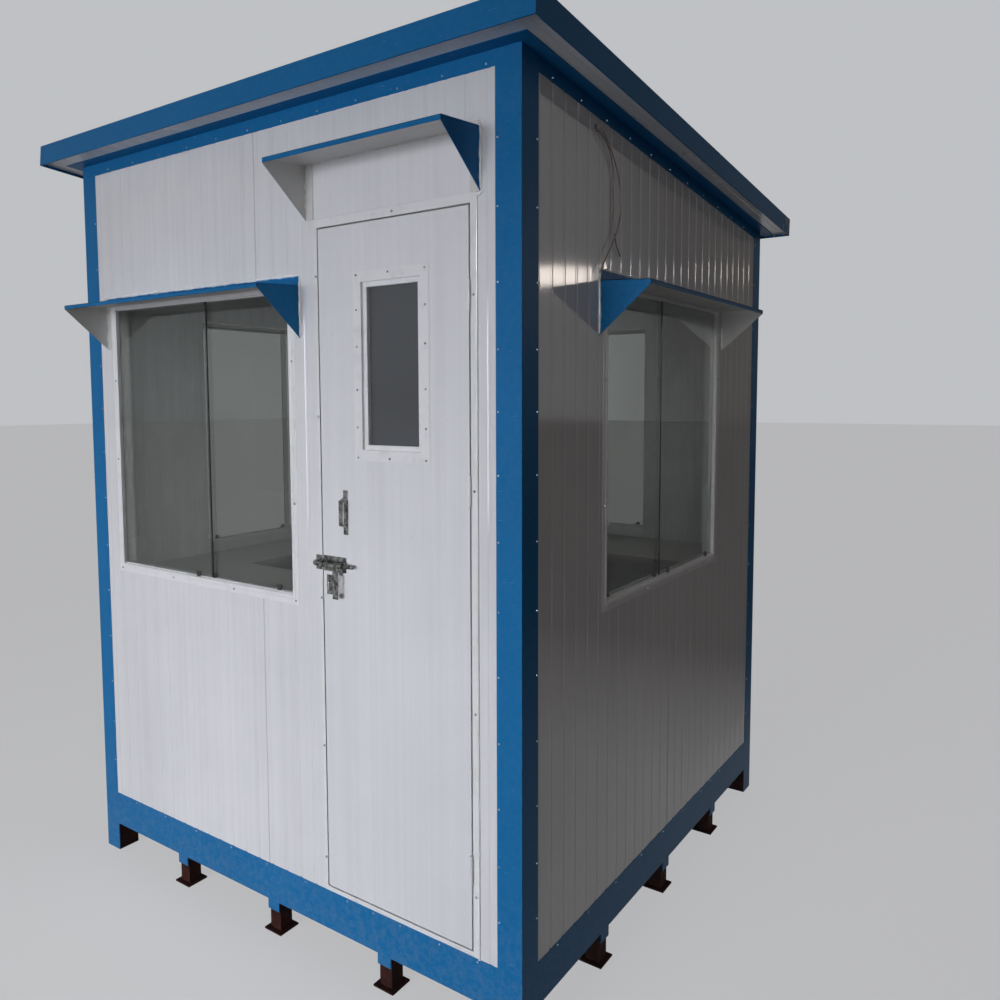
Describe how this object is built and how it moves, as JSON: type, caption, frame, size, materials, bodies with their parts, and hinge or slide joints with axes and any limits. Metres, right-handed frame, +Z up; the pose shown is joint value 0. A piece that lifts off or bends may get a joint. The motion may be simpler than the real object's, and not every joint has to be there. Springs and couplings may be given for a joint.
{
  "type": "security guard booth",
  "caption": "Raised prefabricated guard booth of white ribbed panels with blue trims, a lean-to roof, hooded sliding windows and a hinged door with a bolt.",
  "frame": {"origin": "middle of the booth's bounding box, on the ground", "axes": "-Y is the door side, +X is to the right seen from the front, +Z up"},
  "size_m": [2.356, 2.314, 2.7973],
  "materials": {
    "blue_sheet": "satin",
    "white_sheet": "satin",
    "red_oxide": "matte",
    "window_white": "satin",
    "clear_glass": "gloss",
    "dark_glass": "gloss",
    "zinc_steel": "satin",
    "floor_board": "matte",
    "counter_board": "satin",
    "wire_brown": "satin",
    "wire_black": "satin"
  },
  "bodies": {
    "booth": {"back_skin": "white_sheet", "back_wall": "white_sheet", "back_window_frame": "window_white", "back_window_glass": "clear_glass", "back_window_hood": "blue_sheet", "base_rails": "blue_sheet", "bolt_keeper": "zinc_steel", "corner_posts": "blue_sheet", "corner_tubes": "red_oxide", "counter_back": "counter_board", "counter_front": "counter_board", "counter_left": "counter_board", "door_head": "window_white", "door_hood": "blue_sheet", "door_jamb_left": "window_white", "door_jamb_right": "window_white", "door_lintel_sheet": "window_white", "door_threshold": "window_white", "floor_board": "floor_board", "floor_joists": "red_oxide", "front_skin": "white_sheet", "front_wall_left": "white_sheet", "front_wall_over_door": "white_sheet", "front_wall_right": "white_sheet", "front_window_frame": "window_white", "front_window_glass": "clear_glass", "front_window_hood": "blue_sheet", "hinge_frame_side": "zinc_steel", "left_skin": "white_sheet", "left_wall": "white_sheet", "left_window_frame": "window_white", "left_window_glass": "clear_glass", "left_window_hood": "blue_sheet", "legs": "red_oxide", "right_skin": "white_sheet", "right_wall": "white_sheet", "right_window_frame": "window_white", "right_window_glass": "clear_glass", "right_window_hood": "blue_sheet", "roof_panel": "white_sheet", "roof_trims": "blue_sheet", "top_bands": "blue_sheet", "wire_a": "wire_brown", "wire_b": "wire_black"},
    "door": {"door_leaf": "white_sheet", "door_light_frame": "window_white", "door_light_glass": "dark_glass", "hinge_leaf_side": "zinc_steel", "door_handle": "zinc_steel", "bolt_plate": "zinc_steel"},
    "bolt": {"bolt_rod": "zinc_steel"},
    "hasp": {"bolt_hasp": "zinc_steel"}
  },
  "joints": [
    {"name": "door_hinge", "type": "hinge", "parent": "booth", "child": "door", "pos_m": [0.846, -0.9967, 1.3], "axis": [0, 0, 1], "range_deg": [0, 110]},
    {"name": "bolt_slide", "type": "slide", "parent": "door", "child": "bolt", "axis": [-1, 0, 0], "range_m": [0, 0.036]},
    {"name": "hasp_turn", "type": "hinge", "parent": "bolt", "child": "hasp", "pos_m": [0.3455, -1.0072, 1.314], "axis": [-1, 0, 0], "range_deg": [0, 150]}
  ]
}
